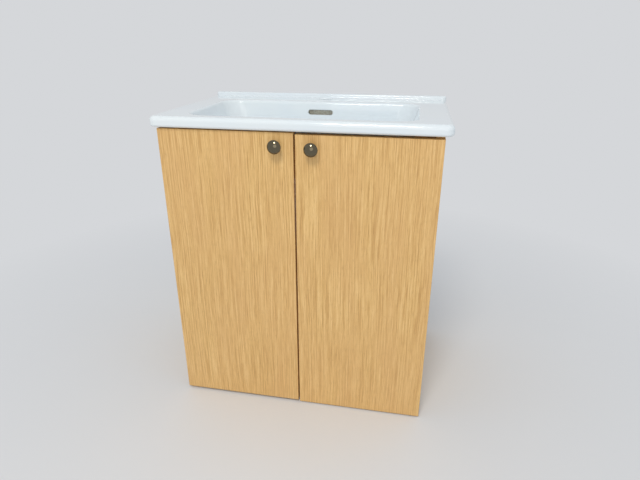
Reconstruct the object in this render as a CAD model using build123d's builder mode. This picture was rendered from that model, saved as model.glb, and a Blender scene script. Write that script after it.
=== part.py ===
"""Two-door bathroom vanity unit with a ceramic basin, in millimetres.

X runs left to right, Y runs from the doors back to the wall and Z points up.
The origin lies on the floor, under the middle of the unit's outer box.
"""

import math
import os

from build123d import *

os.makedirs("parts", exist_ok=True)

# Basin
basin_width = 632.0
basin_depth = 410.0
deck_thickness = 23.0
deck_plate = 12.0
deck_side_land = 36.0
deck_back_land = 20.0
deck_edge_top_radius = 10.0
deck_edge_bottom_radius = 6.0
front_corner_radius = 16.0
back_corner_radius = 12.0
upstand_thickness = 20.0
upstand_height = 10.0
upstand_end_radius = 9.5
upstand_edge_radius = 5.0
upstand_end_setback = 0.5
upstand_cove_radius = 4.0
bowl_width = 496.0
bowl_front_margin = 35.0
bowl_back_margin = 109.0
bowl_corner_radius = 44.0
bowl_depth = 118.0
bowl_end_slope = 42.0
bowl_front_slope = 46.0
bowl_back_slope = 12.0
bowl_floor_radius = 30.0
bowl_rim_radius = 8.0
bowl_wall = 8.0
tap_hole_diameter = 35.0
tap_hole_from_back = 47.0
tap_hole_edge_radius = 4.0
tap_boss_diameter = 62.0
tap_rib_width = 9.0
tap_rib_from_middle = 95.0
underside_radius = 12.0
waste_hole_diameter = 45.0
waste_boss_diameter = 72.0
waste_seat_diameter = 64.0
waste_seat_depth = 2.5
waste_from_bowl_foot = 95.0
overflow_width = 66.0
overflow_height = 13.0
overflow_below_deck = 26.0
duct_depth = 10.0
duct_behind_bowl = 5.0
duct_wall = 6.0
duct_end_gap = 1.0
duct_above_slot = 2.0

# Cabinet
cabinet_width = 600.0
board = 18.0
glide_height = 4.0
glide_diameter = 15.0
glide_bevel = 1.0
glide_pin_diameter = 3.0
glide_pin_length = 14.0
glide_from_edge = 50.0
bottom_panel_height = 50.0
plinth_setback = 30.0
front_rail_height = 60.0
front_rail_below_top = 42.0
rear_top_rail_height = 100.0
rear_lower_rail_height = 80.0

# Doors
door_height = 678.0
door_bottom_gap = 6.0
door_top_gap = 3.0
door_back_gap = 2.0
door_seam = 3.8
door_edge_radius = 0.8
basin_overhang = 8.0
right_door_drop = 3.0
bumper_diameter = 8.0
bumper_taper = 12.0
bumper_from_seam = 22.0
running_gap = 0.3

# Knobs
knob_diameter = 30.0
knob_projection = 24.0
knob_from_seam = 38.0
knob_below_top = 27.0
knob_neck_diameter = 11.0
knob_foot_diameter = 16.0
knob_foot_height = 3.0
knob_foot_slope = 1.5
knob_head_height = 13.0
knob_dome_height = 7.4
knob_back_inset = 3.4
knob_back_rise = 2.2
knob_rim_radius = 1.6
knob_screw_diameter = 4.0
knob_screw_grip = 10.0
knob_screw_head_diameter = 8.0
knob_screw_head_height = 2.4
knob_screw_head_taper = 15.0

# Screw and pin holes in boards
hole_clearance = 0.1
hole_end_gap = 0.5

# Shelf
shelf_height = 332.0
shelf_setback = 36.0
shelf_back_gap = 24.0
shelf_side_gap = 1.0
shelf_notch_width = 150.0
shelf_notch_depth = 110.0
shelf_notch_radius = 20.0
pin_hole_diameter = 5.0
pin_hole_depth = 10.0
pin_hole_pitch = 32.0
pin_hole_rows = 5
pin_front_inset = 56.0
pin_back_inset = 60.0
pin_reach = 9.0

# Confirmat screws
confirmat_shank_diameter = 5.0
confirmat_head_diameter = 9.6
confirmat_head_length = 3.0
confirmat_length = 48.0
confirmat_from_edge = 60.0

# Wall brackets
bracket_leg = 40.0
bracket_width = 30.0
bracket_thickness = 2.0
bracket_below_rail = 32.0
bracket_hole_diameter = 6.0
bracket_hole_inset = 24.0
bracket_screw_diameter = 4.0
bracket_screw_length = 14.0
bracket_screw_head_diameter = 8.0
bracket_screw_head_taper = 25.0

# Concealed hinges, with x inwards from the door's outer edge and y back from the cabinet's front edge
hinge_low_height = 110.0
hinge_high_below_top = 140.0
short_link_root = (36.6, 4.6)
long_link_root = (41.0, 10.0)
short_link_tip = (12.5, -5.2)
long_link_tip = (12.4, -10.0)
cup_diameter = 35.0
cup_edge_distance = 4.5
cup_depth = 12.1
cup_wall = 1.0
cup_floor = 0.6
cup_flange_thickness = 0.8
cup_flange_length = 62.0
cup_flange_width = 37.0
cup_flange_radius = 8.0
cup_lug_radius = 2.1
cup_lug_front = 9.6
cup_lug_back = 17.0
cup_screw_spacing = 45.0
cup_screw_offset = 9.5
cup_screw_diameter = 3.5
cup_screw_length = 12.0
cup_screw_head_diameter = 6.4
cup_screw_head_height = 1.0
cup_screw_head_taper = 30.0
short_link_thickness = 3.0
short_link_width = 4.8
short_link_eye_margin = 0.4
short_link_bends = ((17.5, -8.0), (23.0, -8.2), (29.0, -3.2))
long_link_thickness = 1.5
long_link_width = 3.2
long_link_eye_margin = 0.9
long_link_bends = ((18.0, -10.6), (23.0, -11.2), (27.5, -9.3), (31.5, -1.5))
link_bend_radius = 2.5
link_layer_gap = 0.15
cheek_thickness = 1.6
root_pin_diameter = 2.5
tip_pin_diameter = 2.4
long_tip_pin_diameter = 2.0
pin_running_clearance = 0.06
rivet_head_height = 0.6
rivet_head_margin = 0.9
fork_notch_width = 2.72
fork_head_diameter = 4.6
arm_wall = 1.5
arm_web_depth = 44.5
arm_nose = 1.5
arm_nose_lip = 3.1
arm_length = 66.0
arm_tail_bevel = 6.0
inner_cheek_length = 17.0
arm_wall_gap = 6.4
plate_from_edge = 37.0
plate_wing_height = 50.0
plate_wing_width = 20.0
plate_wing_radius = 5.0
plate_thickness = 2.0
plate_body_front = 20.0
plate_body_back = 62.0
plate_body_side_gap = 0.4
plate_screw_spacing = 32.0
plate_screw_diameter = 5.0
plate_screw_length = 13.0
plate_screw_head_diameter = 8.0
plate_screw_head_height = 2.0
plate_screw_head_taper = 20.0
arm_screw_diameter = 4.0
arm_screw_head_diameter = 7.0
arm_screw_head_height = 2.2
arm_screw_head_taper = 15.0
arm_screw_grip = 9.0
arm_screw_front = 26.0
arm_screw_back = 52.0

# Places worked out from the sizes above
unit_depth = basin_depth - basin_overhang + knob_projection
wall_y = unit_depth / 2
basin_front_y = wall_y - basin_depth
door_front_y = basin_front_y + basin_overhang
door_thickness = board
door_back_y = door_front_y + door_thickness
cabinet_front_y = door_back_y + door_back_gap
cabinet_depth = wall_y - cabinet_front_y
half_cabinet = cabinet_width / 2
inner_half = half_cabinet - board
door_width = (cabinet_width - door_seam) / 2
door_top_z = door_bottom_gap + door_height
cabinet_top_z = door_top_z + door_top_gap
deck_z = cabinet_top_z + deck_thickness
front_rail_top_z = cabinet_top_z - front_rail_below_top
front_rail_mid_z = front_rail_top_z - front_rail_height / 2
bottom_panel_top_z = bottom_panel_height + board
side_panel_height = cabinet_top_z - glide_height
bowl_floor_z = deck_z - bowl_depth
bowl_front_y = basin_front_y + bowl_front_margin
bowl_back_y = wall_y - bowl_back_margin
waste_y = bowl_back_y - bowl_back_slope - waste_from_bowl_foot
overflow_z = deck_z - overflow_below_deck
bracket_z = cabinet_top_z - rear_top_rail_height - bracket_below_rail
knob_z = door_top_z - knob_below_top
hinge_heights = (door_bottom_gap + hinge_low_height, door_top_z - hinge_high_below_top)
sides = {"left": -1, "right": 1}
drops = {"left": 0.0, "right": right_door_drop}


def save(part, name):
    part.label = name
    export_step(part, f"parts/{name}.step")


def bowl_outline(level_z, inward, slope_share):
    """Rounded rectangle of the bowl at one height, with the walls moved out by -inward."""
    front = bowl_front_y + bowl_front_slope * slope_share + inward
    back = bowl_back_y - bowl_back_slope * slope_share - inward
    width = bowl_width - 2 * bowl_end_slope * slope_share - 2 * inward
    with BuildSketch(Plane.XY.offset(level_z)) as outline:
        with Locations((0, (front + back) / 2)):
            RectangleRounded(width, back - front, bowl_corner_radius - inward)
    return outline.sketch


def bowl_solid(top_z, floor_z, inward, top_share, floor_radius):
    """Bowl-shaped solid: a loft between two outlines with a rounded floor."""
    with BuildPart() as bowl:
        add(bowl_outline(top_z, inward, top_share))
        add(bowl_outline(floor_z, inward, 1.0))
        loft()
        fillet(bowl.edges().group_by(Axis.Z)[0], floor_radius)
    return bowl.part


# Basin: deck slab with an upstand, bowl, overflow duct and waste boss
duct_front_y = bowl_back_y + duct_behind_bowl
duct_back_y = duct_front_y + duct_depth
duct_root_y = bowl_back_y - bowl_back_slope
duct_top_z = overflow_z + overflow_height / 2 + duct_above_slot
duct_floor_z = bowl_floor_z - bowl_wall - duct_depth
slab_bite = 1.0
plate_under_z = deck_z - deck_plate
outer_top_z = plate_under_z + slab_bite
outer_top_share = (deck_plate - slab_bite) / bowl_depth
underside_front_y = bowl_front_y
underside_back_y = wall_y - deck_back_land
tap_y = wall_y - tap_hole_from_back
waste_seat_step = (waste_seat_diameter - waste_hole_diameter) / 2
waste_seat_taper = math.degrees(math.atan2(waste_seat_step, waste_seat_depth))
touch = 0.01

with BuildPart() as upstand:
    with BuildSketch(Plane.XY.offset(deck_z - deck_thickness / 2)):
        with Locations((0, wall_y - upstand_thickness / 2)):
            RectangleRounded(
                basin_width - 2 * upstand_end_setback,
                upstand_thickness,
                upstand_end_radius,
            )
    extrude(amount=deck_thickness / 2 + upstand_height)
    fillet(upstand.edges().group_by(Axis.Z)[-1], upstand_edge_radius)

with BuildPart() as basin:
    with BuildSketch(Plane.XY.offset(cabinet_top_z)):
        with Locations((0, wall_y - basin_depth / 2)):
            Rectangle(basin_width, basin_depth)
    extrude(amount=deck_thickness)
    fillet(basin.edges().filter_by(Axis.Z).group_by(Axis.Y)[0], front_corner_radius)
    fillet(basin.edges().filter_by(Axis.Z).group_by(Axis.Y)[-1], back_corner_radius)
    fillet(basin.edges().group_by(Axis.Z)[-1], deck_edge_top_radius)
    fillet(basin.edges().group_by(Axis.Z)[0], deck_edge_bottom_radius)
    add(upstand.part)
    with BuildSketch(Plane.XY.offset(cabinet_top_z)):
        with Locations((0, (underside_front_y + underside_back_y) / 2)):
            RectangleRounded(
                basin_width - 2 * deck_side_land,
                underside_back_y - underside_front_y,
                underside_radius,
            )
        with Locations((0, tap_y)):
            Circle(tap_boss_diameter / 2, mode=Mode.SUBTRACT)
        with Locations((-tap_rib_from_middle, 0), (tap_rib_from_middle, 0)):
            Rectangle(tap_rib_width, basin_depth, mode=Mode.SUBTRACT)
    extrude(amount=deck_thickness - deck_plate, mode=Mode.SUBTRACT)
    add(
        bowl_solid(
            outer_top_z,
            bowl_floor_z - bowl_wall,
            -bowl_wall,
            outer_top_share,
            bowl_floor_radius + bowl_wall,
        )
    )
    with BuildSketch(Plane.YZ.offset(-overflow_width / 2 - duct_wall)):
        with BuildLine():
            Polyline(
                (duct_root_y, outer_top_z),
                (duct_back_y + duct_wall, outer_top_z),
                (duct_back_y + duct_wall, duct_floor_z - duct_wall),
                (waste_y, duct_floor_z - duct_wall),
                (waste_y, bowl_floor_z - bowl_wall / 2),
                (duct_root_y, bowl_floor_z - bowl_wall / 2),
                close=True,
            )
        make_face()
    extrude(amount=overflow_width + 2 * duct_wall)
    with BuildSketch(Plane.XY.offset(duct_floor_z - duct_wall)):
        with Locations((0, waste_y)):
            Circle(waste_boss_diameter / 2)
    extrude(amount=duct_depth + duct_wall + bowl_wall / 2)
    add(bowl_solid(deck_z, bowl_floor_z, 0.0, 0.0, bowl_floor_radius), mode=Mode.SUBTRACT)
    rim = basin.edges().filter_by_position(Axis.Z, deck_z - touch, deck_z + touch)
    rim = rim.filter_by_position(Axis.Y, bowl_front_y - touch, bowl_back_y + touch)
    rim = rim.filter_by_position(Axis.X, -bowl_width / 2 - touch, bowl_width / 2 + touch)
    fillet(rim, bowl_rim_radius)
    with BuildSketch(Plane.YZ.offset(-overflow_width / 2)):
        with BuildLine():
            Polyline(
                (duct_front_y, duct_top_z),
                (duct_back_y, duct_top_z),
                (duct_back_y, duct_floor_z),
                (waste_y, duct_floor_z),
                (waste_y, bowl_floor_z - bowl_wall),
                (duct_front_y, bowl_floor_z - bowl_wall),
                close=True,
            )
        make_face()
    extrude(amount=overflow_width, mode=Mode.SUBTRACT)
    with BuildSketch(Plane.XZ.offset(-duct_back_y + duct_depth / 2)):
        with Locations((0, overflow_z)):
            SlotOverall(overflow_width - 2 * duct_end_gap, overflow_height)
    extrude(amount=duct_depth / 2 + duct_behind_bowl + 2 * bowl_back_slope, mode=Mode.SUBTRACT)
    with BuildSketch(Plane.XY.offset(duct_floor_z - duct_wall)):
        with Locations((0, waste_y)):
            Circle(waste_hole_diameter / 2)
    extrude(amount=bowl_depth, mode=Mode.SUBTRACT)
    with BuildSketch(Plane.XY.offset(bowl_floor_z - waste_seat_depth)):
        with Locations((0, waste_y)):
            Circle(waste_hole_diameter / 2)
    extrude(amount=waste_seat_depth, taper=-waste_seat_taper, mode=Mode.SUBTRACT)
    with BuildSketch(Plane.XY.offset(cabinet_top_z)):
        with Locations((0, tap_y)):
            Circle(tap_hole_diameter / 2)
    extrude(amount=deck_thickness, mode=Mode.SUBTRACT)
    tap_rim = basin.edges().filter_by(GeomType.CIRCLE)
    tap_rim = tap_rim.filter_by_position(Axis.Z, deck_z - touch, deck_z + touch)
    tap_rim = tap_rim.filter_by(lambda edge: abs(edge.radius - tap_hole_diameter / 2) < touch)
    fillet(tap_rim, tap_hole_edge_radius)
    cove_y = wall_y - upstand_thickness
    cove = basin.edges().filter_by(Axis.X).filter_by_position(Axis.Z, deck_z - touch, deck_z + touch)
    cove = cove.filter_by_position(Axis.Y, cove_y - touch, cove_y + touch)
    fillet(cove, upstand_cove_radius)
save(basin.part, "basin")


def confirmat_places():
    """Places (y, z) of the screws through a side panel, board by board from the bottom panel up."""
    plinth_y = cabinet_front_y + plinth_setback + board / 2
    rail_y = wall_y - board / 2
    top_rail_z = cabinet_top_z - rear_top_rail_height / 2
    return [
        (cabinet_front_y + confirmat_from_edge, bottom_panel_height + board / 2),
        (wall_y - confirmat_from_edge, bottom_panel_height + board / 2),
        (plinth_y, (glide_height + bottom_panel_height) / 2),
        (cabinet_front_y + board / 2, front_rail_mid_z - front_rail_height / 4),
        (cabinet_front_y + board / 2, front_rail_mid_z + front_rail_height / 4),
        (rail_y, top_rail_z - rear_top_rail_height / 4),
        (rail_y, top_rail_z + rear_top_rail_height / 4),
        (rail_y, bottom_panel_top_z + rear_lower_rail_height / 2),
    ]


def glide_places():
    return [cabinet_front_y + glide_from_edge, wall_y - glide_from_edge]


def shelf_pin_columns():
    return [cabinet_front_y + pin_front_inset, wall_y - pin_back_inset]


def side_plane(side):
    """Plane on a side panel's inner face: its normal points into the cabinet."""
    direction = -sides[side]
    return Plane(origin=(sides[side] * inner_half, 0, 0), x_dir=(0, 1, 0), z_dir=(direction, 0, 0))


def on_side(plane, y, z):
    """Local coordinates on a side plane of the point at y and z."""
    point = plane.to_local_coords(Vector(plane.origin.X, y, z))
    return (point.X, point.Y)


board_length = 2 * inner_half
pin_z = shelf_height - pin_hole_diameter / 2
standing = (Align.CENTER, Align.CENTER, Align.MIN)
front_flush = (Align.CENTER, Align.MIN, Align.MAX)
against_wall = (Align.CENTER, Align.MAX, Align.MAX)

# Side panels with holes for shelf pins, hinge plates, screws and glides
for side, sign in sides.items():
    inner_face = side_plane(side)
    with BuildPart() as side_panel:
        with Locations((sign * (half_cabinet - board / 2), wall_y, cabinet_top_z)):
            Box(board, cabinet_depth, side_panel_height, align=against_wall)
        with BuildSketch(inner_face):
            for column_y in shelf_pin_columns():
                for row in range(pin_hole_rows):
                    row_z = pin_z + (row - pin_hole_rows // 2) * pin_hole_pitch
                    with Locations(on_side(inner_face, column_y, row_z)):
                        Circle(pin_hole_diameter / 2)
        extrude(amount=-pin_hole_depth, mode=Mode.SUBTRACT)
        with BuildSketch(inner_face):
            for height in hinge_heights:
                for offset_z in (-plate_screw_spacing / 2, plate_screw_spacing / 2):
                    plate_z = height - drops[side] + offset_z
                    with Locations(on_side(inner_face, cabinet_front_y + plate_from_edge, plate_z)):
                        Circle(plate_screw_diameter / 2 + hole_clearance)
        extrude(amount=-plate_screw_length, mode=Mode.SUBTRACT)
        with BuildSketch(inner_face):
            with Locations(on_side(inner_face, wall_y - bracket_hole_inset, bracket_z)):
                Circle(bracket_screw_diameter / 2 + hole_clearance)
        extrude(amount=-bracket_screw_length, mode=Mode.SUBTRACT)
        with BuildSketch(inner_face):
            for screw_y, screw_z in confirmat_places():
                with Locations(on_side(inner_face, screw_y, screw_z)):
                    Circle(confirmat_shank_diameter / 2 + hole_clearance)
        extrude(amount=-board, mode=Mode.SUBTRACT)
        with BuildSketch(inner_face.offset(-board)):
            for screw_y, screw_z in confirmat_places():
                with Locations(on_side(inner_face, screw_y, screw_z)):
                    Circle(confirmat_head_diameter / 2 + hole_clearance)
        extrude(amount=confirmat_head_length + hole_clearance, mode=Mode.SUBTRACT)
        with BuildSketch(Plane.XY.offset(glide_height)):
            for glide_y in glide_places():
                with Locations((sign * (half_cabinet - board / 2), glide_y)):
                    Circle(glide_pin_diameter / 2 + hole_clearance)
        extrude(amount=glide_pin_length + hole_end_gap, mode=Mode.SUBTRACT)
    save(side_panel.part, f"{side}_side_panel")


def pilot_holes(screw_places):
    """Solids of the screw holes in both ends of a board between the sides."""
    with BuildPart() as holes:
        for side in sides:
            plane = side_plane(side)
            with BuildSketch(plane):
                for screw_y, screw_z in screw_places:
                    with Locations(on_side(plane, screw_y, screw_z)):
                        Circle(confirmat_shank_diameter / 2 + hole_clearance)
            extrude(amount=confirmat_length - board + hole_end_gap)
    return holes.part


places = confirmat_places()

with BuildPart() as bottom_panel:
    with Locations((0, (cabinet_front_y + wall_y) / 2, bottom_panel_height)):
        Box(board_length, cabinet_depth, board, align=standing)
    add(pilot_holes(places[0:2]), mode=Mode.SUBTRACT)
save(bottom_panel.part, "bottom_panel")

with BuildPart() as plinth_rail:
    with Locations((0, cabinet_front_y + plinth_setback, bottom_panel_height)):
        Box(board_length, board, bottom_panel_height - glide_height, align=front_flush)
    add(pilot_holes(places[2:3]), mode=Mode.SUBTRACT)
save(plinth_rail.part, "plinth_rail")

with BuildPart() as front_rail:
    with Locations((0, cabinet_front_y, front_rail_top_z)):
        Box(board_length, board, front_rail_height, align=front_flush)
    add(pilot_holes(places[3:5]), mode=Mode.SUBTRACT)
save(front_rail.part, "front_rail")

with BuildPart() as rear_top_rail:
    with Locations((0, wall_y, cabinet_top_z)):
        Box(board_length, board, rear_top_rail_height, align=against_wall)
    add(pilot_holes(places[5:7]), mode=Mode.SUBTRACT)
save(rear_top_rail.part, "rear_top_rail")

with BuildPart() as rear_lower_rail:
    with Locations((0, wall_y, bottom_panel_top_z)):
        Box(board_length, board, rear_lower_rail_height, align=(Align.CENTER, Align.MAX, Align.MIN))
    add(pilot_holes(places[7:8]), mode=Mode.SUBTRACT)
save(rear_lower_rail.part, "rear_lower_rail")

# Shelf with a notch for the waste pipe, on four pins
shelf_front_y = cabinet_front_y + shelf_setback
shelf_back_y = wall_y - shelf_back_gap
with BuildPart() as shelf:
    with BuildSketch(Plane.XY.offset(shelf_height)):
        with Locations((0, (shelf_front_y + shelf_back_y) / 2)):
            Rectangle(board_length - 2 * shelf_side_gap, shelf_back_y - shelf_front_y)
        with Locations((0, shelf_back_y)):
            RectangleRounded(
                shelf_notch_width,
                2 * shelf_notch_depth,
                shelf_notch_radius,
                mode=Mode.SUBTRACT,
            )
    extrude(amount=board)
save(shelf.part, "shelf")

with BuildPart() as shelf_pins:
    for side in sides:
        plane = side_plane(side).offset(-pin_hole_depth + hole_end_gap)
        with BuildSketch(plane):
            for column_y in shelf_pin_columns():
                with Locations(on_side(plane, column_y, pin_z)):
                    Circle(pin_hole_diameter / 2)
        extrude(amount=pin_hole_depth - hole_end_gap + pin_reach)
save(shelf_pins.part, "shelf_pins")

# Screws that join the boards
for side, sign in sides.items():
    with BuildPart() as carcase_screws:
        outer_face = side_plane(side).offset(-board)
        with BuildSketch(outer_face):
            for screw_y, screw_z in places:
                with Locations(on_side(outer_face, screw_y, screw_z)):
                    Circle(confirmat_head_diameter / 2)
        extrude(amount=confirmat_head_length)
        with BuildSketch(outer_face):
            for screw_y, screw_z in places:
                with Locations(on_side(outer_face, screw_y, screw_z)):
                    Circle(confirmat_shank_diameter / 2)
        extrude(amount=confirmat_length)
    save(carcase_screws.part, f"{side}_carcase_screws")

with BuildPart() as floor_glides:
    for sign in sides.values():
        for glide_y in glide_places():
            with Locations((sign * (half_cabinet - board / 2), glide_y, 0)):
                Cone(glide_diameter / 2 - glide_bevel, glide_diameter / 2, glide_height, align=standing)
                Cylinder(glide_pin_diameter / 2, glide_height + glide_pin_length, align=standing)
save(floor_glides.part, "floor_glides")

# Wall brackets under the rear top rail
with BuildPart() as wall_brackets:
    for side, sign in sides.items():
        with BuildSketch(Plane.XY.offset(bracket_z - bracket_width / 2)):
            with BuildLine():
                Polyline(
                    (sign * inner_half, wall_y),
                    (sign * (inner_half - bracket_leg), wall_y),
                    (sign * (inner_half - bracket_leg), wall_y - bracket_thickness),
                    (sign * (inner_half - bracket_thickness), wall_y - bracket_thickness),
                    (sign * (inner_half - bracket_thickness), wall_y - bracket_leg),
                    (sign * inner_half, wall_y - bracket_leg),
                    close=True,
                )
            make_face()
        extrude(amount=bracket_width)
        with BuildSketch(Plane.XZ.offset(-wall_y)):
            with Locations((sign * (inner_half - bracket_hole_inset), bracket_z)):
                Circle(bracket_hole_diameter / 2)
        extrude(amount=bracket_thickness, mode=Mode.SUBTRACT)
        with BuildSketch(side_plane(side)):
            with Locations(on_side(side_plane(side), wall_y - bracket_hole_inset, bracket_z)):
                Circle(bracket_screw_diameter / 2 + hole_clearance)
        extrude(amount=bracket_thickness, mode=Mode.SUBTRACT)
save(wall_brackets.part, "wall_brackets")

with BuildPart() as bracket_screws:
    for side in sides:
        bracket_plane = side_plane(side).offset(bracket_thickness)
        with BuildSketch(bracket_plane):
            with Locations(on_side(bracket_plane, wall_y - bracket_hole_inset, bracket_z)):
                Circle(bracket_screw_diameter / 2)
        extrude(amount=-bracket_screw_length)
        with BuildSketch(bracket_plane):
            with Locations(on_side(bracket_plane, wall_y - bracket_hole_inset, bracket_z)):
                Circle(bracket_screw_head_diameter / 2)
        extrude(amount=bracket_thickness, taper=bracket_screw_head_taper)
save(bracket_screws.part, "bracket_screws")


def hinge_plane(side, height):
    """Plane across a hinge at mid height: x runs inwards from the cabinet's outer face, y runs back."""
    sign = sides[side]
    origin = (sign * half_cabinet, cabinet_front_y, height - drops[side])
    return Plane(origin=origin, x_dir=(-sign, 0, 0), z_dir=(0, 0, -sign))


def link_outline(points, width, corner_radius):
    """Flat bar of constant width along a line with rounded corners."""
    with BuildSketch() as outline:
        with BuildLine():
            FilletPolyline(*points, radius=corner_radius)
        trace(line_width=width)
    return outline.sketch


# Directions along and across the long link, from its root pivot to its tip pivot
link_run = Vector(*long_link_tip) - Vector(*long_link_root)
link_angle = math.degrees(math.atan2(link_run.Y, link_run.X))
dome_start_y = knob_projection - knob_dome_height
dome_radius = ((knob_diameter / 2) ** 2 + knob_dome_height**2) / (2 * knob_dome_height)
dome_half_angle = math.asin(knob_diameter / 2 / dome_radius) / 2
dome_middle = (
    dome_radius * math.sin(dome_half_angle),
    -knob_projection + dome_radius * (1 - math.cos(dome_half_angle)),
)
head_back_y = knob_projection - knob_head_height
cup_centre_x = cup_edge_distance + cup_diameter / 2
cup_face_y = -door_back_gap
cup_inner_floor_y = cup_face_y - cup_depth + cup_floor
root_pin_bore = root_pin_diameter / 2 + pin_running_clearance
tip_pin_bore = tip_pin_diameter / 2 + pin_running_clearance
cheek_inner = short_link_thickness / 2 + link_layer_gap
cheek_outer = cheek_inner + cheek_thickness
long_link_outer = arm_wall_gap - link_layer_gap
long_link_inner = long_link_outer - long_link_thickness
arm_outer = arm_wall_gap + arm_wall
cup_bore_radius = cup_diameter / 2 - cup_wall
plate_body_width = 2 * (arm_wall_gap - plate_body_side_gap)
plate_screw_spots = [(plate_from_edge, end * plate_screw_spacing / 2) for end in (1, -1)]
cup_screw_spots = [(cup_screw_offset, end * cup_screw_spacing / 2) for end in (1, -1)]
arm_screw_spots = [(arm_screw_front, 0), (arm_screw_back, 0)]
tip_pin_offset = long_link_tip[0] - cup_centre_x
tip_pin_reach = math.sqrt((cup_diameter / 2 - cup_wall / 2) ** 2 - tip_pin_offset**2)

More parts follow.
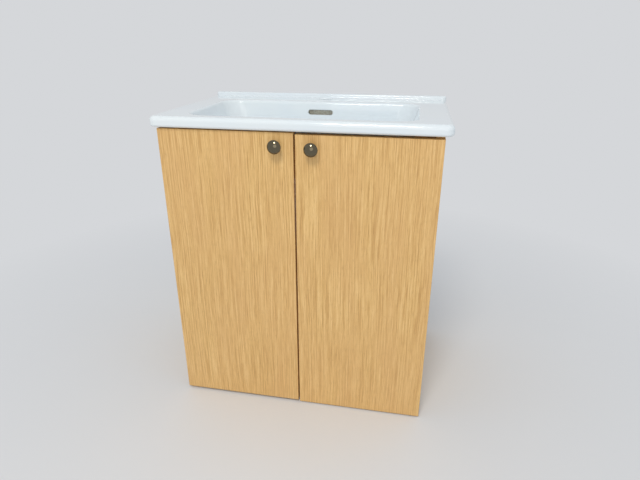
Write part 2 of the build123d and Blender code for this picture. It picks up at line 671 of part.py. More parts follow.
for side in sides:
    frames = [hinge_plane(side, height) for height in hinge_heights]

    # Short links: one curved bar in each hinge, between the arm's cheeks and the cup's lugs
    with BuildPart() as short_links:
        for frame in frames:
            with BuildSketch(frame.offset(-short_link_thickness / 2)):
                add(
                    link_outline(
                        [short_link_tip, *short_link_bends, short_link_root],
                        short_link_width,
                        link_bend_radius,
                    )
                )
                with Locations(short_link_tip):
                    Circle(short_link_width / 2)
                with Locations(short_link_root):
                    Circle(short_link_width / 2 + short_link_eye_margin)
                with Locations(short_link_tip):
                    Circle(tip_pin_bore, mode=Mode.SUBTRACT)
                with Locations(short_link_root):
                    Circle(root_pin_bore, mode=Mode.SUBTRACT)
            extrude(amount=short_link_thickness)
    save(short_links.part, f"{side}_short_links")

    # Long links: a pair of curved bars in each hinge, forked at the cup
    with BuildPart() as long_links:
        for frame in frames:
            for layer in (long_link_inner, -long_link_outer):
                with BuildSketch(frame.offset(layer)):
                    add(
                        link_outline(
                            [long_link_tip, *long_link_bends, long_link_root],
                            long_link_width,
                            link_bend_radius,
                        )
                    )
                    with Locations(long_link_root):
                        Circle(long_link_width / 2 + long_link_eye_margin)
                    with Locations(long_link_tip):
                        Circle(fork_head_diameter / 2)
                    with Locations(long_link_root):
                        Circle(root_pin_bore, mode=Mode.SUBTRACT)
                    with Locations(Location((*long_link_tip, 0), (0, 0, link_angle))):
                        Circle(fork_notch_width / 2, mode=Mode.SUBTRACT)
                        Rectangle(
                            fork_head_diameter,
                            fork_notch_width,
                            align=(Align.MIN, Align.CENTER),
                            mode=Mode.SUBTRACT,
                        )
                extrude(amount=long_link_thickness)
    save(long_links.part, f"{side}_long_links")

    # Hinge cups with a screw flange and two lugs for the link pins
    with BuildPart() as hinge_cups:
        for frame in frames:
            cup_plane = Plane(
                origin=frame.from_local_coords((cup_centre_x, cup_face_y, 0)),
                x_dir=frame.x_dir,
                z_dir=(0, -1, 0),
            )
            with BuildSketch(cup_plane.offset(-cup_flange_thickness)):
                RectangleRounded(cup_flange_width, cup_flange_length, cup_flange_radius)
            extrude(amount=cup_flange_thickness)
            with BuildSketch(cup_plane):
                Circle(cup_diameter / 2)
            extrude(amount=cup_depth)
            with BuildSketch(cup_plane.offset(-cup_flange_thickness)):
                Circle(cup_bore_radius)
            extrude(amount=cup_flange_thickness + cup_depth - cup_floor, mode=Mode.SUBTRACT)
            with BuildSketch(cup_plane.offset(-cup_flange_thickness)):
                with Locations(cup_screw_spots):
                    Circle(cup_screw_diameter / 2 + hole_clearance)
            extrude(amount=cup_flange_thickness, mode=Mode.SUBTRACT)
            for layer in (cheek_inner, -cheek_outer):
                with BuildSketch(frame.offset(layer)):
                    with BuildLine():
                        Polyline(
                            (cup_lug_front, cup_inner_floor_y),
                            (short_link_tip[0] - cup_lug_radius, short_link_tip[1]),
                            (short_link_tip[0] + cup_lug_radius, short_link_tip[1]),
                            (cup_lug_back, cup_inner_floor_y),
                            close=True,
                        )
                    make_face()
                    with Locations(short_link_tip):
                        Circle(cup_lug_radius)
                        Circle(tip_pin_diameter / 2, mode=Mode.SUBTRACT)
                    with Locations(long_link_tip):
                        Circle(long_tip_pin_diameter / 2, mode=Mode.SUBTRACT)
                extrude(amount=cheek_thickness)
            with BuildSketch(frame.offset(-tip_pin_reach)):
                with Locations(long_link_tip):
                    Circle(long_tip_pin_diameter / 2)
            extrude(amount=2 * tip_pin_reach, mode=Mode.SUBTRACT)
    save(hinge_cups.part, f"{side}_hinge_cups")

    with BuildPart() as cup_pins:
        for frame in frames:
            with BuildSketch(frame.offset(-cheek_outer)):
                with Locations(short_link_tip):
                    Circle(tip_pin_diameter / 2)
            extrude(amount=2 * cheek_outer)
            with BuildSketch(frame.offset(-tip_pin_reach)):
                with Locations(long_link_tip):
                    Circle(long_tip_pin_diameter / 2)
            extrude(amount=2 * tip_pin_reach)
    save(cup_pins.part, f"{side}_cup_pins")

    # Hinge arms: a channel over the mounting plate, with two inner cheeks at the nose
    with BuildPart() as hinge_arms:
        for frame in frames:
            with BuildSketch(frame.offset(-arm_outer)):
                with Locations((arm_web_depth, arm_nose)):
                    Rectangle(arm_wall, arm_length - arm_nose, align=(Align.MIN, Align.MIN))
            extrude(amount=2 * arm_outer)
            for layer, thickness, reach in (
                (arm_wall_gap, arm_wall, arm_length),
                (-arm_outer, arm_wall, arm_length),
                (cheek_inner, cheek_thickness, inner_cheek_length),
                (-cheek_outer, cheek_thickness, inner_cheek_length),
            ):
                with BuildSketch(frame.offset(layer)):
                    with BuildLine():
                        Polyline(
                            (arm_web_depth, arm_nose),
                            (short_link_root[0], arm_nose),
                            (short_link_root[0] - arm_nose_lip, short_link_root[1]),
                            (short_link_root[0] - arm_nose_lip, reach - arm_tail_bevel),
                            (short_link_root[0], reach),
                            (arm_web_depth, reach),
                            close=True,
                        )
                    make_face()
                    if thickness == cheek_thickness:
                        with Locations(short_link_root):
                            Circle(root_pin_diameter / 2, mode=Mode.SUBTRACT)
                    with Locations(long_link_root):
                        Circle(root_pin_diameter / 2, mode=Mode.SUBTRACT)
                extrude(amount=thickness)
            web_plane = Plane(
                origin=frame.from_local_coords((arm_web_depth, 0, 0)),
                x_dir=(0, 1, 0),
                z_dir=frame.x_dir,
            )
            with BuildSketch(web_plane):
                with Locations(arm_screw_spots):
                    Circle(arm_screw_diameter / 2 + hole_clearance)
            extrude(amount=arm_wall, mode=Mode.SUBTRACT)
    save(hinge_arms.part, f"{side}_hinge_arms")

    with BuildPart() as arm_pins:
        for frame in frames:
            with BuildSketch(frame.offset(-cheek_outer)):
                with Locations(short_link_root):
                    Circle(root_pin_diameter / 2)
            extrude(amount=2 * cheek_outer)
            with BuildSketch(frame.offset(-arm_outer)):
                with Locations(long_link_root):
                    Circle(root_pin_diameter / 2)
            extrude(amount=2 * arm_outer)
            for layer in (arm_outer, -arm_outer - rivet_head_height):
                with BuildSketch(frame.offset(layer)):
                    with Locations(long_link_root):
                        Circle(root_pin_diameter / 2 + rivet_head_margin)
                extrude(amount=rivet_head_height)
    save(arm_pins.part, f"{side}_arm_pins")

    # Mounting plates with screw wings, and the screws
    with BuildPart() as hinge_plates:
        for frame in frames:
            base = Plane(
                origin=frame.from_local_coords((board, 0, 0)),
                x_dir=(0, 1, 0),
                z_dir=frame.x_dir,
            )
            with BuildSketch(base):
                with Locations((plate_from_edge, 0)):
                    RectangleRounded(plate_wing_width, plate_wing_height, plate_wing_radius)
                with Locations(((plate_body_front + plate_body_back) / 2, 0)):
                    Rectangle(plate_body_back - plate_body_front, plate_body_width)
            extrude(amount=plate_thickness)
            with BuildSketch(base):
                with Locations(((plate_body_front + plate_body_back) / 2, 0)):
                    Rectangle(plate_body_back - plate_body_front, plate_body_width)
            extrude(amount=arm_web_depth - board)
            with BuildSketch(base):
                with Locations(plate_screw_spots):
                    Circle(plate_screw_diameter / 2 + hole_clearance)
            extrude(amount=plate_thickness, mode=Mode.SUBTRACT)
            with BuildSketch(base.offset(arm_web_depth - board)):
                with Locations(arm_screw_spots):
                    Circle(arm_screw_diameter / 2 + hole_clearance)
            extrude(amount=-arm_screw_grip - hole_end_gap, mode=Mode.SUBTRACT)
    save(hinge_plates.part, f"{side}_hinge_plates")

    with BuildPart() as plate_screws:
        for frame in frames:
            base = Plane(
                origin=frame.from_local_coords((board + plate_thickness, 0, 0)),
                x_dir=(0, 1, 0),
                z_dir=frame.x_dir,
            )
            with BuildSketch(base):
                with Locations(plate_screw_spots):
                    Circle(plate_screw_diameter / 2)
            extrude(amount=-plate_screw_length - plate_thickness + hole_end_gap)
            with BuildSketch(base):
                with Locations(plate_screw_spots):
                    Circle(plate_screw_head_diameter / 2)
            extrude(amount=plate_screw_head_height, taper=plate_screw_head_taper)
    save(plate_screws.part, f"{side}_plate_screws")

    with BuildPart() as arm_screws:
        for frame in frames:
            base = Plane(
                origin=frame.from_local_coords((arm_web_depth + arm_wall, 0, 0)),
                x_dir=(0, 1, 0),
                z_dir=frame.x_dir,
            )
            with BuildSketch(base):
                with Locations(arm_screw_spots):
                    Circle(arm_screw_diameter / 2)
            extrude(amount=-arm_wall - arm_screw_grip)
            with BuildSketch(base):
                with Locations(arm_screw_spots):
                    Circle(arm_screw_head_diameter / 2)
            extrude(amount=arm_screw_head_height, taper=arm_screw_head_taper)
    save(arm_screws.part, f"{side}_arm_screws")

    with BuildPart() as cup_screws:
        for frame in frames:
            cup_plane = Plane(
                origin=frame.from_local_coords((cup_centre_x, cup_face_y + cup_flange_thickness, 0)),
                x_dir=frame.x_dir,
                z_dir=(0, -1, 0),
            )
            with BuildSketch(cup_plane):
                with Locations(cup_screw_spots):
                    Circle(cup_screw_diameter / 2)
            extrude(amount=cup_flange_thickness + cup_screw_length)
            with BuildSketch(cup_plane):
                with Locations(cup_screw_spots):
                    Circle(cup_screw_head_diameter / 2)
            extrude(amount=-cup_screw_head_height, taper=cup_screw_head_taper)
    save(cup_screws.part, f"{side}_cup_screws")

    # Door with cup recesses, screw holes and the knob's hole
    sign = sides[side]
    drop = drops[side]
    seam_x = sign * door_seam / 2
    knob_x = sign * knob_from_seam
    with BuildPart() as door:
        with Locations((seam_x + sign * door_width / 2, door_front_y, door_bottom_gap - drop)):
            Box(door_width, door_thickness, door_height, align=(Align.CENTER, Align.MIN, Align.MIN))
        fillet(door.faces().sort_by(Axis.Y)[0].edges(), door_edge_radius)
        for frame in frames:
            cup_plane = Plane(
                origin=frame.from_local_coords((cup_centre_x, cup_face_y, 0)),
                x_dir=frame.x_dir,
                z_dir=(0, -1, 0),
            )
            with BuildSketch(cup_plane):
                Circle(cup_diameter / 2 + hole_clearance)
            extrude(amount=cup_depth + hole_clearance, mode=Mode.SUBTRACT)
            with BuildSketch(cup_plane):
                with Locations(cup_screw_spots):
                    Circle(cup_screw_diameter / 2 + hole_clearance)
            extrude(amount=cup_screw_length + hole_end_gap, mode=Mode.SUBTRACT)
        with BuildSketch(Plane.XZ.offset(-door_back_y)):
            with Locations((knob_x, knob_z - drop)):
                Circle(knob_screw_diameter / 2 + hole_clearance)
        extrude(amount=door_thickness, mode=Mode.SUBTRACT)
    save(door.part, f"{side}_door")

    # Knob turned in one piece: foot, neck and domed head
    with BuildPart() as knob:
        with BuildSketch(Plane.XY.move(Location((knob_x, door_front_y, knob_z - drop)))):
            with BuildLine():
                Polyline(
                    (0, -knob_projection),
                    (0, 0),
                    (knob_foot_diameter / 2, 0),
                    (knob_foot_diameter / 2, -knob_foot_height),
                    (knob_neck_diameter / 2, -knob_foot_height - knob_foot_slope),
                    (knob_neck_diameter / 2, -head_back_y),
                )
                ThreePointArc(
                    (knob_neck_diameter / 2, -head_back_y),
                    (knob_diameter / 2 - knob_back_inset, -head_back_y - knob_back_rise),
                    (knob_diameter / 2, -dome_start_y),
                )
                ThreePointArc((knob_diameter / 2, -dome_start_y), dome_middle, (0, -knob_projection))
            make_face()
        revolve(axis=Axis((knob_x, door_front_y, knob_z - drop), (0, 1, 0)))
        rim = knob.edges().filter_by(lambda edge: abs(edge.length - math.pi * knob_diameter) < touch)
        fillet(rim, knob_rim_radius)
        with BuildSketch(Plane.XZ.offset(-door_front_y)):
            with Locations((knob_x, knob_z - drop)):
                Circle(knob_screw_diameter / 2 + hole_clearance)
        extrude(amount=knob_screw_grip + hole_end_gap, mode=Mode.SUBTRACT)
    save(knob.part, f"{side}_knob")

    with BuildPart() as knob_screw:
        with BuildSketch(Plane.XZ.offset(-door_back_y)):
            with Locations((knob_x, knob_z - drop)):
                Circle(knob_screw_diameter / 2)
        extrude(amount=door_thickness + knob_screw_grip)
        with BuildSketch(Plane.XZ.offset(-door_back_y)):
            with Locations((knob_x, knob_z - drop)):
                Circle(knob_screw_head_diameter / 2)
        extrude(amount=-knob_screw_head_height, taper=knob_screw_head_taper)
    save(knob_screw.part, f"{side}_knob_screw")

    # Bumpers that meet the front rail and the bottom panel
    with BuildPart() as bumpers:
        for bumper_z in (front_rail_mid_z, bottom_panel_height + board / 2):
            with BuildSketch(Plane.XZ.offset(-door_back_y)):
                with Locations((sign * (door_seam / 2 + bumper_from_seam), bumper_z)):
                    Circle(bumper_diameter / 2)
            extrude(amount=-(door_back_gap - running_gap), taper=bumper_taper)
    save(bumpers.part, f"{side}_bumpers")
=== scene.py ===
"""Looks of the two-door vanity unit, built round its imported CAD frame, in metres."""

import math

import bmesh
import bpy
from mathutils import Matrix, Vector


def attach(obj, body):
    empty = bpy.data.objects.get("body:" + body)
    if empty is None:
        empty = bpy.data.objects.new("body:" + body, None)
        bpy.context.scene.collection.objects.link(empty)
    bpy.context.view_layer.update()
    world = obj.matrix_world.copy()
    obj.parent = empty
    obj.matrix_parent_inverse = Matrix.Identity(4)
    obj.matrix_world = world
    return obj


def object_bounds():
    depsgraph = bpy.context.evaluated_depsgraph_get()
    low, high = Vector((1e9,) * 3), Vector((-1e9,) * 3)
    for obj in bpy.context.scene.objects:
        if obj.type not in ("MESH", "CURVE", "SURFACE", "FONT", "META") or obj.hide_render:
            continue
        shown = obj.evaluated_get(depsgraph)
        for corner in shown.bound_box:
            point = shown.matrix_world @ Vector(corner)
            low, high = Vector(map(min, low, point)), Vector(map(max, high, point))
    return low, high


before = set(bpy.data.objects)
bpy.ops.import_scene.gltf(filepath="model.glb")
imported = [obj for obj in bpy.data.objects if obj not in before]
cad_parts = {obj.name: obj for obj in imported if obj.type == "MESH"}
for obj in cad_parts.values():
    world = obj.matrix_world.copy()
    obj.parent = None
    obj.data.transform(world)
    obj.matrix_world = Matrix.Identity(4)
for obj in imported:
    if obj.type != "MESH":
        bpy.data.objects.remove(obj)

cad_low, cad_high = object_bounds()

# Colours as the eye names them, red, green and blue from 0 to 255
OAK_LIGHT = (243, 204, 141)
OAK_MIDDLE = (226, 184, 118)
OAK_DARK = (196, 151, 90)
OAK_PORE = (164, 122, 72)
OAK_WARM = (222, 176, 118)
CHIP_LIGHT = (206, 178, 132)
CHIP_DARK = (132, 98, 62)
GLAZE = (233, 240, 243)
GLAZE_COOL = (228, 237, 243)
CLAY = (240, 236, 222)
CLAY_SAND = (206, 178, 132)
# The chrome's dark warm olive colour is a painted reflection of dark surroundings, far darker than
# bare chrome
CHROME_PAINTED_REFLECTION = (112, 104, 86)
NICKEL = (200, 198, 192)
ZINC = (190, 193, 196)
DRIVE_SHADE = (62, 61, 60)
GLIDE = (226, 226, 221)
BUMPER = (232, 234, 230)
FLOOR = (228, 229, 231)
FLOOR_WORN = (223, 225, 228)

# The camera, from the corners of the doors and the basin in the photograph, angles in radians
CAMERA_PLACE = (0.23796, -1.15128, 0.86591)
CAMERA_PITCH = 0.3982
CAMERA_YAW = 0.1886
CAMERA_FOCAL_PIXELS = 486.64
CAMERA_CLIP_START = 0.01
PHOTO_WIDTH = 640
SENSOR_WIDTH = 36.0

# Name, place, aim, diameter, power in watts and colour of each lamp
LAMPS = (
    ("key_light", (-0.1, -2.1, 3.1), (0.0, -0.2, 0.4), 0.9, 39.0, (1.0, 0.96, 0.9)),
    ("front_fill", (0.5, -3.4, 1.3), (0.0, -0.2, 0.4), 2.4, 13.0, (1.0, 0.97, 0.92)),
)
WORLD_LIGHT = 0.6
WORLD_TINT = (0.92, 0.96, 1.0, 1.0)
BACKDROP_TINT = (0.95, 0.97, 1.0, 1.0)
BACKDROP_STRENGTH = 0.7

# The floor: its size, where its fade into the backdrop starts and ends, and its speckles to a metre
FLOOR_SIZE = 40.0
FLOOR_BELOW_GLIDES = 0.0002
FLOOR_FADE = (0.35, 1.5)
FLOOR_SPECKLES = 3.0
FLOOR_DETAIL = 4.0
FLOOR_ROUGHNESS = 0.85

# Oak patterns: marks to a metre across and along the grain, their slice of the noise, and its detail
GRAIN = {
    "lean": (7.0, 3.0, 0.0, 1.0),
    "ripple": (45.0, 30.0, 3.0, 2.0),
    "streaks": (330.0, 5.0, 5.0, 4.0),
    "fibres": (1000.0, 22.0, 9.0, 3.0),
    "pores": (1400.0, 60.0, 13.0, 2.0),
    "clouds": (11.0, 2.6, 17.0, 2.0),
}
GRAIN_ROUGHNESS = 0.6
NOISE_MIDDLE = 0.5

# How far the lean and the ripple push the lines of the grain aside, in metres
WANDER = {"lean": 0.014, "ripple": 0.0018}

# Shares of the oak's patterns in its tone and its relief, and the relief's depth in metres
FIBRE_SHARE = 0.45
TONE_RELIEF = 0.45
GRAIN_DEPTH = 0.00018
OAK_SPECULAR = 0.4
CHIPS_PER_METRE = 420.0

# Spans: a pattern's low and high value, then what each of them becomes
NOISE_RANGE = (0.3, 0.7)
TONE_SPAN = (0.4, 0.6)
DARK_HALF = (0.0, 0.5)
LIGHT_HALF = (0.5, 1.0)
PORE_SPAN = (0.58, 0.72, 0.0, 0.62)
CLOUD_SPAN = (0.35, 0.7, 0.0, 0.45)
OAK_POLISH = (*NOISE_RANGE, 0.42, 0.54)
GLAZE_POLISH = (*NOISE_RANGE, 0.07, 0.1)
CLAY_SPAN = (0.35, 0.65, 0.0, 0.4)
METAL_SPAN = (*NOISE_RANGE, 0.0, 0.6)
FLOOR_SPAN = (*NOISE_RANGE, 0.0, 0.3)

# Each board, its veneer, the axis of its grain, and the axis on which its bare edges face
BOARDS = (
    ("bottom_panel", "oak_bottom", "X", "Y"),
    ("plinth_rail", "oak_plinth", "X", None),
    ("front_rail", "oak_front_rail", "X", None),
    ("rear_top_rail", "oak_rear_rail", "X", "Z"),
    ("rear_lower_rail", "oak_lower_rail", "X", "Z"),
    ("shelf", "oak_shelf", "X", "Y"),
    ("left_side_panel", "oak_left_panel", "Z", "Y"),
    ("right_side_panel", "oak_right_panel", "Z", "Y"),
    ("left_door", "oak_left_door", "Z", None),
    ("right_door", "oak_right_door", "Z", None),
)
FIRST_FIGURE = 11.0
FIGURE_STEP = 10.0

# Glaze and clay: waves, clouds and grains to a metre, their detail, and the depth of the waves
GLAZE_WAVES = 22.0
GLAZE_CLOUDS = 7.0
GLAZE_DETAIL = 2.0
GLAZE_WAVE_DEPTH = 0.000015
GLAZE_COAT = 0.4
GLAZE_COAT_ROUGHNESS = 0.03
CLAY_GRAINS = 300.0
CLAY_DETAIL = 3.0
CLAY_ROUGHNESS = 0.8

# The least share of an axis in the direction of a face that looks along it
TURNED = 0.5

# The glaze ends just over the deck's underside, and the overflow channel lies behind the bowl
DECK_UNDERSIDE_BELOW_TOP = 0.033
GLAZE_END_OVER_UNDERSIDE = 0.0005
CHANNEL_BEFORE_BACK = 0.103
glaze_end = cad_high.z - DECK_UNDERSIDE_BELOW_TOP + GLAZE_END_OVER_UNDERSIDE
channel_start = cad_high.y - CHANNEL_BEFORE_BACK

# Each metal's colour, least and greatest roughness, grains to a metre, and the tint of the grains
METALS = {
    # Polished chrome whose dark colour is a painted reflection
    "polished_chrome": (CHROME_PAINTED_REFLECTION, 0.03, 0.07, 60.0, 0.95),
    "nickel_steel": (NICKEL, 0.16, 0.3, 300.0, 0.85),
    "zinc_screws": (ZINC, 0.2, 0.38, 500.0, 0.85),
    # The dark colour of the screw recesses is painted shade, not a metal of its own
    "drive_recess_shade": (DRIVE_SHADE, 0.4, 0.6, 500.0, 0.85),
}
METAL_DETAIL = 4.0
GLIDE_ROUGHNESS = 0.5
BUMPER_ROUGHNESS = 0.35

# The skin of moulded plastic: grains to a metre, their detail, depth in metres and strength
SKIN_GRAINS = 2600.0
SKIN_DETAIL = 2.0
SKIN_DEPTH = 0.00006
SKIN_STRENGTH = 0.4

# Screw recesses: reach of each recess from its middle, and how the dark piece of painted recess
# shade sits in the head, in metres
HEXAGON_REACH = 0.0024
HEXAGON_TURNS = (0, 60, 120, 180, 240, 300)
PLATE_CROSS = 0.0023
ARM_CROSS = 0.002
CUP_CROSS = 0.0019
KNOB_CROSS = 0.0024
CROSS_WIDTH_SHARE = 0.28
DRIVE_PROUD = 0.00003
DRIVE_DEPTH = 0.0004
HEAD_SPAN = 0.012
SAME_PLANE = 0.00002

# The doors' sides with their sign on the X axis, and the parts that each side has in nickel and zinc
SIDES = {"left": -1, "right": 1}
NICKEL_PARTS = (
    "hinge_arms",
    "hinge_plates",
    "hinge_cups",
    "short_links",
    "long_links",
    "arm_pins",
    "cup_pins",
)
ZINC_PARTS = ("carcase_screws", "plate_screws", "arm_screws", "cup_screws", "knob_screw")

# Where a mix node keeps its first, second and mixed value among its sockets, for each kind of value
MIX_SOCKETS = {"RGBA": (6, 7, 2), "FLOAT": (2, 3, 0)}


def linear(colour):
    """Linear red, green and blue with alpha, from a colour as the eye names it."""
    shares = [value / 255 for value in colour]
    return [c / 12.92 if c <= 0.04045 else ((c + 0.055) / 1.055) ** 2.4 for c in shares] + [1.0]


class Shader:
    """A material with a short way to add nodes and join them."""

    def __init__(self, name):
        self.material = bpy.data.materials.new(name)
        self.material.use_nodes = True
        self.tree = self.material.node_tree
        self.surface = self.tree.nodes["Principled BSDF"]
        coordinates = self.tree.nodes.new("ShaderNodeTexCoord")
        self.place = coordinates.outputs["Object"]
        self.facing = coordinates.outputs["Normal"]

    def join(self, value, socket):
        """Joins a socket to another, or sets its value."""
        if isinstance(value, bpy.types.NodeSocket):
            self.tree.links.new(value, socket)
        else:
            socket.default_value = value

    def math(self, operation, *values):
        """A sum, a product, a comparison or the like of one to three values."""
        node = self.tree.nodes.new("ShaderNodeMath")
        node.operation = operation
        for value, socket in zip(values, node.inputs):
            self.join(value, socket)
        return node.outputs[0]

    def noise(self, place, detail, scale=1.0, roughness=0.5):
        """Soft random values from 0 to 1, mostly near the middle."""
        node = self.tree.nodes.new("ShaderNodeTexNoise")
        self.join(place, node.inputs["Vector"])
        node.inputs["Scale"].default_value = scale
        node.inputs["Detail"].default_value = detail
        node.inputs["Roughness"].default_value = roughness
        return node.outputs["Fac"]

    def cells(self, place, scale):
        """A random colour for each of many small cells."""
        node = self.tree.nodes.new("ShaderNodeTexVoronoi")
        self.join(place, node.inputs["Vector"])
        node.inputs["Scale"].default_value = scale
        return node.outputs["Color"]

    def span(self, value, low, high, to_low=0.0, to_high=1.0):
        """The value's share between low and high, held to the new range."""
        node = self.tree.nodes.new("ShaderNodeMapRange")
        self.join(value, node.inputs["Value"])
        node.inputs["From Min"].default_value = low
        node.inputs["From Max"].default_value = high
        node.inputs["To Min"].default_value = to_low
        node.inputs["To Max"].default_value = to_high
        return node.outputs[0]

    def mix(self, share, first, second, kind="RGBA"):
        """Two colours, or two numbers where the kind is FLOAT, mixed by the second one's share."""
        first_socket, second_socket, mixed = MIX_SOCKETS[kind]
        node = self.tree.nodes.new("ShaderNodeMix")
        node.data_type = kind
        self.join(share, node.inputs["Factor"])
        self.join(first, node.inputs[first_socket])
        self.join(second, node.inputs[second_socket])
        return node.outputs[mixed]

    def parts(self, vector):
        """The sockets X, Y and Z of a vector."""
        node = self.tree.nodes.new("ShaderNodeSeparateXYZ")
        self.join(vector, node.inputs[0])
        return node.outputs

    def vector(self, x, y, z):
        """A vector from three values."""
        node = self.tree.nodes.new("ShaderNodeCombineXYZ")
        for value, socket in zip((x, y, z), node.inputs):
            self.join(value, socket)
        return node.outputs[0]

    def bump(self, height, distance, strength=1.0):
        """A relief of a height from 0 to 1, over a distance in metres."""
        node = self.tree.nodes.new("ShaderNodeBump")
        self.join(height, node.inputs["Height"])
        node.inputs["Distance"].default_value = distance
        node.inputs["Strength"].default_value = strength
        return node.outputs[0]

    def set(self, **values):
        """Sets or joins sockets of the surface, named with _ for each space."""
        for name, value in values.items():
            self.join(value, self.surface.inputs[name.replace("_", " ")])
        return self.material


def oak(name, along, figure, bare_axis):
    """Oak veneer with straight grain along an axis; figure moves the pattern between boards.

    Hidden edges, which face back where bare_axis is Y, or up and down where it is Z, are chipboard.
    """
    shader = Shader(name)
    x, y, z = shader.parts(shader.place)
    run, side, depth = {"Z": (z, x, y), "X": (x, z, y)}[along]
    across = shader.math("ADD", side, depth)

    def grain(over, pattern):
        across_count, along_count, noise_slice, detail = GRAIN[pattern]
        place = shader.vector(
            shader.math("MULTIPLY", over, across_count),
            figure + noise_slice,
            shader.math("MULTIPLY", run, along_count),
        )
        return shader.noise(place, detail, roughness=GRAIN_ROUGHNESS)

    lines = across
    for pattern, reach in WANDER.items():
        sway = shader.math("SUBTRACT", grain(across, pattern), NOISE_MIDDLE)
        lines = shader.math("MULTIPLY_ADD", sway, reach, lines)
    streaks = grain(lines, "streaks")
    fibres = grain(lines, "fibres")
    pores = grain(lines, "pores")
    clouds = grain(across, "clouds")
    tone = shader.span(shader.mix(FIBRE_SHARE, streaks, fibres, "FLOAT"), *TONE_SPAN)
    colour = shader.mix(shader.span(tone, *DARK_HALF), linear(OAK_DARK), linear(OAK_MIDDLE))
    colour = shader.mix(shader.span(tone, *LIGHT_HALF), colour, linear(OAK_LIGHT))
    pore_share = shader.span(pores, *PORE_SPAN)
    colour = shader.mix(pore_share, colour, linear(OAK_PORE))
    colour = shader.mix(shader.span(clouds, *CLOUD_SPAN), colour, linear(OAK_WARM))
    height = shader.math("SUBTRACT", shader.math("MULTIPLY", tone, TONE_RELIEF), pore_share)
    if bare_axis:
        chips = shader.parts(shader.cells(shader.place, CHIPS_PER_METRE))["X"]
        chip = shader.mix(chips, linear(CHIP_DARK), linear(CHIP_LIGHT))
        faces = shader.parts(shader.facing)[bare_axis]
        if bare_axis == "Z":
            faces = shader.math("ABSOLUTE", faces)
        colour = shader.mix(shader.math("GREATER_THAN", faces, TURNED), colour, chip)
    return shader.set(
        Base_Color=colour,
        Roughness=shader.span(fibres, *OAK_POLISH),
        Normal=shader.bump(height, GRAIN_DEPTH),
        Specular_IOR_Level=OAK_SPECULAR,
    )


def ceramic():
    """White glaze, with bare cream clay in the overflow channel and on the underside."""
    shader = Shader("glazed_ceramic")
    place = shader.parts(shader.place)
    wave = shader.noise(shader.place, GLAZE_DETAIL, GLAZE_WAVES)
    cloud = shader.noise(shader.place, GLAZE_DETAIL, GLAZE_CLOUDS)
    sand = shader.noise(shader.place, CLAY_DETAIL, CLAY_GRAINS)
    glaze = shader.mix(shader.span(cloud, *NOISE_RANGE), linear(GLAZE), linear(GLAZE_COOL))
    clay = shader.mix(shader.span(sand, *CLAY_SPAN), linear(CLAY), linear(CLAY_SAND))
    below = shader.math("LESS_THAN", place["Z"], glaze_end)
    looks_down = shader.math("LESS_THAN", shader.parts(shader.facing)["Z"], -TURNED)
    in_channel = shader.math("GREATER_THAN", place["Y"], channel_start)
    bare = shader.math("MULTIPLY", below, shader.math("MAXIMUM", looks_down, in_channel))
    return shader.set(
        Base_Color=shader.mix(bare, glaze, clay),
        Roughness=shader.mix(bare, shader.span(cloud, *GLAZE_POLISH), CLAY_ROUGHNESS, "FLOAT"),
        Normal=shader.bump(wave, GLAZE_WAVE_DEPTH),
        Coat_Weight=shader.math("MULTIPLY", shader.math("SUBTRACT", 1.0, bare), GLAZE_COAT),
        Coat_Roughness=GLAZE_COAT_ROUGHNESS,
    )


def metal(name):
    """Plated metal with slight changes of polish and tone."""
    colour, least_roughness, greatest_roughness, grains, tint = METALS[name]
    shader = Shader(name)
    grain = shader.noise(shader.place, METAL_DETAIL, grains)
    darker = [value * tint for value in linear(colour)[:3]] + [1.0]
    return shader.set(
        Base_Color=shader.mix(shader.span(grain, *METAL_SPAN), linear(colour), darker),
        Metallic=1.0,
        Roughness=shader.span(grain, *NOISE_RANGE, least_roughness, greatest_roughness),
    )


def plastic(name, colour, roughness):
    """Moulded plastic with a fine matt skin."""
    shader = Shader(name)
    skin = shader.noise(shader.place, SKIN_DETAIL, SKIN_GRAINS)
    return shader.set(
        Base_Color=linear(colour),
        Roughness=roughness,
        Normal=shader.bump(skin, SKIN_DEPTH, SKIN_STRENGTH),
    )


def cross_outline(arm):
    """Twelve points of a cross recess, whose arms reach this far from the middle."""
    half = arm * CROSS_WIDTH_SHARE
    corner = [(arm, -half), (arm, half), (half, half)]
    turns = [(1, 0), (0, 1), (-1, 0), (0, -1)]
    return [(x * c - y * s, x * s + y * c) for c, s in turns for x, y in corner]


def hexagon_outline(reach):
    """Six points of a hexagon socket, whose corners reach this far from the middle."""
    turns = [math.radians(turn) for turn in HEXAGON_TURNS]
    return [(reach * math.cos(turn), reach * math.sin(turn)) for turn in turns]


def head_ends(node, direction):
    """Middles of the screw heads' flat ends: the node's farthest points along a direction."""
    points = [vertex.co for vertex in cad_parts[node].data.vertices]
    reach = max(point.dot(direction) for point in points)
    groups = []
    for point in points:
        if reach - point.dot(direction) > SAME_PLANE:
            continue
        near = [group for group in groups if (group[0] - point).length < HEAD_SPAN]
        if near:
            near[0].append(point)
        else:
            groups.append([point])
    return [
        Vector([(min(axis) + max(axis)) / 2 for axis in zip(*group)])
        for group in groups
    ]


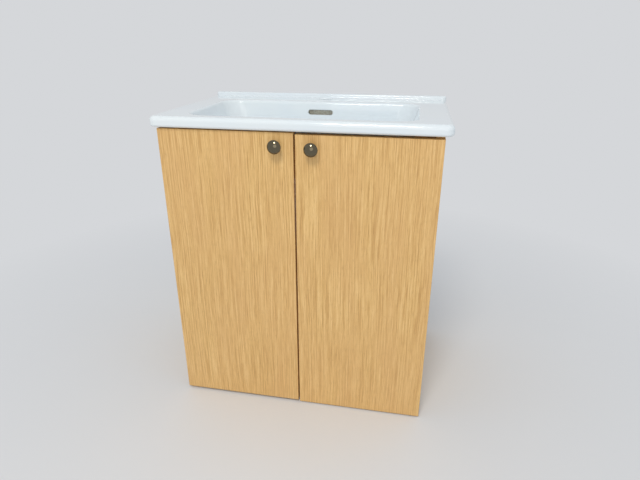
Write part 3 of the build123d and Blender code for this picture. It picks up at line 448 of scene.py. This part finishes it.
def add_recess_shades(node, body, direction, outline, material):
    """Painted shade of the cross or hexagon recess in each head of a node's screws, as one dark
    piece.
    """
    direction = Vector(direction)
    upright = Vector((0, 0, 1))
    sideways = upright.cross(direction)
    recess_shades = bmesh.new()
    for middle in head_ends(node, direction):
        corners = [
            recess_shades.verts.new(middle + sideways * x + upright * y + direction * DRIVE_PROUD)
            for x, y in outline
        ]
        face = recess_shades.faces.new(corners)
        walls = bmesh.ops.extrude_face_region(recess_shades, geom=[face])["geom"]
        sunk = [item for item in walls if isinstance(item, bmesh.types.BMVert)]
        bmesh.ops.translate(recess_shades, verts=sunk, vec=-direction * DRIVE_DEPTH)
    bmesh.ops.recalc_face_normals(recess_shades, faces=recess_shades.faces)
    mesh = bpy.data.meshes.new(f"{node}_drives")
    recess_shades.to_mesh(mesh)
    recess_shades.free()
    mesh.materials.append(material)
    piece = bpy.data.objects.new(f"{node}_drives", mesh)
    bpy.context.scene.collection.objects.link(piece)
    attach(piece, body)


def add_all_recess_shades():
    """Painted shade in the recesses of all screws but the two in the wall brackets."""
    # Dark pieces of painted shade where the screw recesses are
    dark = metal("drive_recess_shade")
    for side, sign in SIDES.items():
        inward = (-sign, 0, 0)
        outward = (sign, 0, 0)
        add_recess_shades(f"{side}_carcase_screws", "root", outward, hexagon_outline(HEXAGON_REACH), dark)
        add_recess_shades(f"{side}_plate_screws", "root", inward, cross_outline(PLATE_CROSS), dark)
        add_recess_shades(f"{side}_arm_screws", "root", inward, cross_outline(ARM_CROSS), dark)
        for part, arm in (("cup_screws", CUP_CROSS), ("knob_screw", KNOB_CROSS)):
            add_recess_shades(f"{side}_{part}", f"{side}_door_set", (0, 1, 0), cross_outline(arm), dark)


def finish(node, material):
    """Gives a CAD node its material."""
    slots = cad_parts[node].material_slots
    if not slots:
        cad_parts[node].data.materials.append(material)
    for material_slot in slots:
        material_slot.material = material


def dress():
    """A material for each CAD node."""
    finish("basin", ceramic())
    for index, (node, veneer, along, bare_axis) in enumerate(BOARDS):
        finish(node, oak(veneer, along, FIRST_FIGURE + FIGURE_STEP * index, bare_axis))
    finish("floor_glides", plastic("glide_plastic", GLIDE, GLIDE_ROUGHNESS))
    chrome = metal("polished_chrome")
    nickel = metal("nickel_steel")
    zinc = metal("zinc_screws")
    finish("wall_brackets", zinc)
    finish("bracket_screws", zinc)
    finish("shelf_pins", nickel)
    for side in SIDES:
        finish(f"{side}_knob", chrome)
        finish(f"{side}_bumpers", plastic(f"{side}_bumper_plastic", BUMPER, BUMPER_ROUGHNESS))
        for part in NICKEL_PARTS:
            finish(f"{side}_{part}", nickel)
        for part in ZINC_PARTS:
            finish(f"{side}_{part}", zinc)


def seen_directly(tree):
    """1 for rays from the camera, a mirror or glass, which show the backdrop, and 0 for light."""
    paths = tree.nodes.new("ShaderNodeLightPath")
    share = paths.outputs["Is Camera Ray"]
    for ray in ("Is Glossy Ray", "Is Transmission Ray"):
        node = tree.nodes.new("ShaderNodeMath")
        node.operation = "MAXIMUM"
        tree.links.new(share, node.inputs[0])
        tree.links.new(paths.outputs[ray], node.inputs[1])
        share = node.outputs[0]
    return share


def floor_material():
    """Pale studio floor that fades into the background away from the object."""
    shader = Shader("studio_floor")
    speckle = shader.noise(shader.place, FLOOR_DETAIL, FLOOR_SPECKLES)
    shader.set(
        Base_Color=shader.mix(shader.span(speckle, *FLOOR_SPAN), linear(FLOOR), linear(FLOOR_WORN)),
        Roughness=FLOOR_ROUGHNESS,
    )
    tree = shader.tree
    distance = tree.nodes.new("ShaderNodeVectorMath")
    distance.operation = "LENGTH"
    shader.join(shader.place, distance.inputs[0])
    share = shader.math(
        "MULTIPLY",
        shader.span(distance.outputs["Value"], *FLOOR_FADE),
        seen_directly(tree),
    )
    glow = tree.nodes.new("ShaderNodeEmission")
    glow.inputs["Color"].default_value = BACKDROP_TINT
    glow.inputs["Strength"].default_value = BACKDROP_STRENGTH
    blend = tree.nodes.new("ShaderNodeMixShader")
    shader.join(share, blend.inputs[0])
    shader.join(shader.surface.outputs[0], blend.inputs[1])
    shader.join(glow.outputs[0], blend.inputs[2])
    shader.join(blend.outputs[0], tree.nodes["Material Output"].inputs["Surface"])
    return shader.material


def add_floor():
    """A wide floor just under the glides."""
    bpy.ops.mesh.primitive_plane_add(size=FLOOR_SIZE, location=(0, 0, -FLOOR_BELOW_GLIDES))
    floor = bpy.context.object
    floor.name = "floor"
    floor.data.materials.append(floor_material())


def add_world(scene):
    """Soft light from all round, and the backdrop that the camera sees in its place."""
    world = bpy.data.worlds.new("studio_world")
    world.use_nodes = True
    scene.world = world
    tree = world.node_tree
    light = tree.nodes["Background"]
    light.inputs["Color"].default_value = WORLD_TINT
    light.inputs["Strength"].default_value = WORLD_LIGHT
    seen = tree.nodes.new("ShaderNodeBackground")
    seen.inputs["Color"].default_value = BACKDROP_TINT
    seen.inputs["Strength"].default_value = BACKDROP_STRENGTH
    blend = tree.nodes.new("ShaderNodeMixShader")
    tree.links.new(seen_directly(tree), blend.inputs[0])
    tree.links.new(light.outputs[0], blend.inputs[1])
    tree.links.new(seen.outputs[0], blend.inputs[2])
    tree.links.new(blend.outputs[0], tree.nodes["World Output"].inputs["Surface"])


def add_lamps(scene):
    """Round lamps, each turned toward its aim."""
    for name, place, aim, size, power, colour in LAMPS:
        data = bpy.data.lights.new(name, "AREA")
        data.shape = "DISK"
        data.size = size
        data.energy = power
        data.color = colour
        lamp = bpy.data.objects.new(name, data)
        lamp.location = place
        toward = Vector(aim) - Vector(place)
        lamp.rotation_mode = "QUATERNION"
        lamp.rotation_quaternion = toward.to_track_quat("-Z", "Y")
        scene.collection.objects.link(lamp)


def add_camera(scene):
    """The photograph's camera, tilted down and turned to the left."""
    data = bpy.data.cameras.new("camera")
    data.sensor_width = SENSOR_WIDTH
    data.lens = CAMERA_FOCAL_PIXELS / PHOTO_WIDTH * SENSOR_WIDTH
    data.clip_start = CAMERA_CLIP_START
    camera = bpy.data.objects.new("camera", data)
    camera.location = CAMERA_PLACE
    camera.rotation_euler = (math.pi / 2 - CAMERA_PITCH, 0, CAMERA_YAW)
    scene.collection.objects.link(camera)
    scene.camera = camera


def studio():
    """Pale floor, soft lights from above the front, and the camera."""
    scene = bpy.context.scene
    add_floor()
    add_world(scene)
    add_lamps(scene)
    add_camera(scene)
    scene.view_settings.view_transform = "Standard"


dress()
add_all_recess_shades()
studio()
